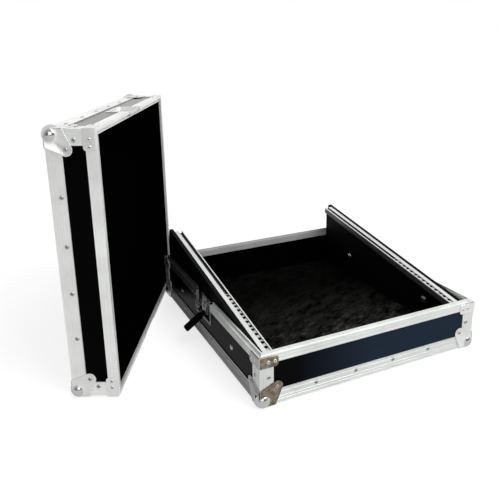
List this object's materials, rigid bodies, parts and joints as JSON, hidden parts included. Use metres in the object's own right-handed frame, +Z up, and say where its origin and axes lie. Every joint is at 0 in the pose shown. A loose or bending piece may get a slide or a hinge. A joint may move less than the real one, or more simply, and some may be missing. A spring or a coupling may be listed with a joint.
{
  "type": "rackmount mixer flight case",
  "caption": "Black laminated flight case with ribbed aluminium edges and ball corners: tray with sloping rack rails, its lid lifted off and stood beside it.",
  "frame": {"origin": "middle of the footprint of the tray and the standing lid together, on the floor they stand on", "axes": "+X along the tray's front edge, from the standing lid towards the tray; +Y from the tray's front to its back; +Z up"},
  "size_m": [0.8992, 0.7492, 0.549],
  "materials": {
    "laminate": "satin",
    "board": "matte",
    "felt": "matte",
    "aluminium": "satin",
    "chrome": "polished",
    "zinc": "satin",
    "black_steel": "satin"
  },
  "bodies": {
    "tray": {"tray_floor_panel": "laminate", "tray_floor_liner": "felt", "tray_front_panel": "laminate", "tray_right_panel": "laminate", "tray_rear_panel": "laminate", "tray_left_panel": "laminate", "tray_front_edge": "aluminium", "tray_right_edge": "aluminium", "tray_rear_edge": "aluminium", "tray_left_edge": "aluminium", "tray_front_closing_rail": "aluminium", "tray_right_closing_rail": "aluminium", "tray_rear_closing_rail": "aluminium", "tray_left_closing_rail": "aluminium", "tray_front_left_post": "aluminium", "tray_front_right_post": "aluminium", "tray_rear_right_post": "aluminium", "tray_rear_left_post": "aluminium", "tray_front_left_ball_corner": "chrome", "tray_front_right_ball_corner": "chrome", "tray_rear_right_ball_corner": "chrome", "tray_rear_left_ball_corner": "chrome", "left_wedge_board": "board", "right_wedge_board": "board", "left_rack_rail": "aluminium", "right_rack_rail": "aluminium", "tray_left_latch_dish": "zinc", "tray_right_latch_dish": "zinc"},
    "left_strip": {"left_tapped_strip": "zinc"},
    "right_strip": {"right_tapped_strip": "zinc"},
    "left_turn": {"left_latch_turn_plate": "zinc"},
    "left_hook": {"left_latch_hook": "zinc"},
    "left_handle": {"left_latch_handle": "black_steel"},
    "right_turn": {"right_latch_turn_plate": "zinc"},
    "right_hook": {"right_latch_hook": "zinc"},
    "right_handle": {"right_latch_handle": "black_steel"},
    "lid": {"lid_top_panel": "laminate", "lid_front_panel": "laminate", "lid_right_panel": "laminate", "lid_rear_panel": "laminate", "lid_left_panel": "laminate", "lid_front_edge": "aluminium", "lid_right_edge": "aluminium", "lid_rear_edge": "aluminium", "lid_left_edge": "aluminium", "lid_front_closing_rail": "aluminium", "lid_right_closing_rail": "aluminium", "lid_rear_closing_rail": "aluminium", "lid_left_closing_rail": "aluminium", "lid_front_left_post": "aluminium", "lid_front_right_post": "aluminium", "lid_rear_right_post": "aluminium", "lid_rear_left_post": "aluminium", "lid_front_left_ball_corner": "chrome", "lid_front_right_ball_corner": "chrome", "lid_rear_right_ball_corner": "chrome", "lid_rear_left_ball_corner": "chrome", "lid_left_keeper_dish": "zinc", "lid_right_keeper_dish": "zinc"}
  },
  "joints": [
    {"name": "lid_lift", "type": "slide", "parent": "tray", "child": "lid", "axis": [0, 0, 1], "range_m": [0, 0.25]},
    {"name": "left_strip_slide", "type": "slide", "parent": "tray", "child": "left_strip", "axis": [0, 0.9869, 0.1612], "range_m": [0, 0.32]},
    {"name": "right_strip_slide", "type": "slide", "parent": "tray", "child": "right_strip", "axis": [0, 0.9869, 0.1612], "range_m": [0, 0.32]},
    {"name": "left_latch_turn", "type": "hinge", "parent": "tray", "child": "left_turn", "pos_m": [-0.13052, -0.0616, 0.087], "axis": [1, 0, 0], "range_deg": [0, 180]},
    {"name": "left_hook_slide", "type": "slide", "parent": "tray", "child": "left_hook", "axis": [0, 0, 1], "range_m": [0, 0.01]},
    {"name": "left_handle_fold", "type": "hinge", "parent": "left_turn", "child": "left_handle", "pos_m": [-0.12862, -0.0616, 0.073], "axis": [0, -1, 0], "range_deg": [-125, 30]},
    {"name": "right_latch_turn", "type": "hinge", "parent": "tray", "child": "right_turn", "pos_m": [0.40448, -0.0616, 0.087], "axis": [-1, 0, 0], "range_deg": [0, 180]},
    {"name": "right_hook_slide", "type": "slide", "parent": "tray", "child": "right_hook", "axis": [0, 0, 1], "range_m": [0, 0.01]},
    {"name": "right_handle_fold", "type": "hinge", "parent": "right_turn", "child": "right_handle", "pos_m": [0.40258, -0.0616, 0.073], "axis": [0, 1, 0], "range_deg": [-125, 30]}
  ],
  "couplings": [
    {"joint": "left_hook_slide", "follows": "left_latch_turn", "m_per_rad": 0.003183},
    {"joint": "right_hook_slide", "follows": "right_latch_turn", "m_per_rad": 0.003183}
  ]
}
